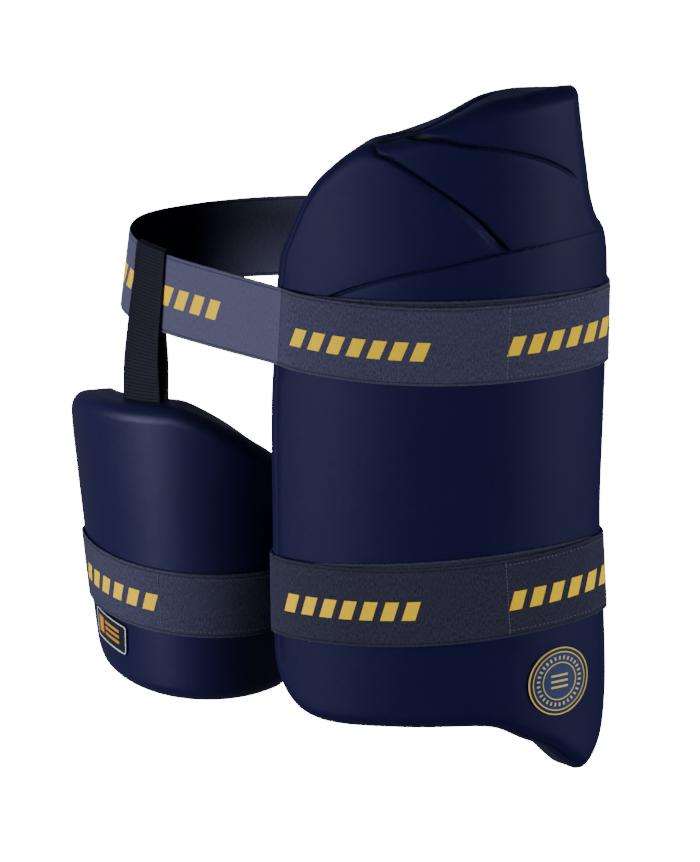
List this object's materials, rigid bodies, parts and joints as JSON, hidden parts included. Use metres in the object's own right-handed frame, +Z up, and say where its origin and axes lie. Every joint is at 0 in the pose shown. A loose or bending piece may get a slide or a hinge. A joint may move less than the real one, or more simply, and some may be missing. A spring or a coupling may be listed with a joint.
{
  "type": "cricket thigh guard",
  "caption": "Worn cricket thigh guard: large outer thigh pad and smaller inner thigh pad hung from one elastic waist belt, with an elastic strap round each thigh.",
  "frame": {"origin": "centre of the waist belt's loop at half the belt's height, where the wearer's waist goes through", "axes": "+Z up, -Y the way the wearer faces, +X the wearer's left, where the outer pad sits"},
  "size_m": [0.3484, 0.2185, 0.4346],
  "materials": {
    "pad_cover": "smooth navy laminated polyester over foam, soft satin",
    "lining": "dark brushed lining cloth",
    "elastic": "woven elastic, heathered slate navy with yellow marks",
    "webbing": "black webbing with cross ribs",
    "badge": "moulded rubber, blue with gold rims",
    "label": "thin satin film with a silver border"
  },
  "bodies": {
    "root": {"outer_pad": "pad_cover", "outer_pad_lining": "lining", "inner_pad": "pad_cover", "inner_pad_lining": "lining", "waist_belt": "elastic", "belt_under_band": "elastic", "outer_thigh_strap": "elastic", "strap_under_band": "elastic", "inner_thigh_strap": "elastic", "hanger_loop": "webbing", "round_badge": "badge", "side_label": "label"}
  },
  "joints": []
}
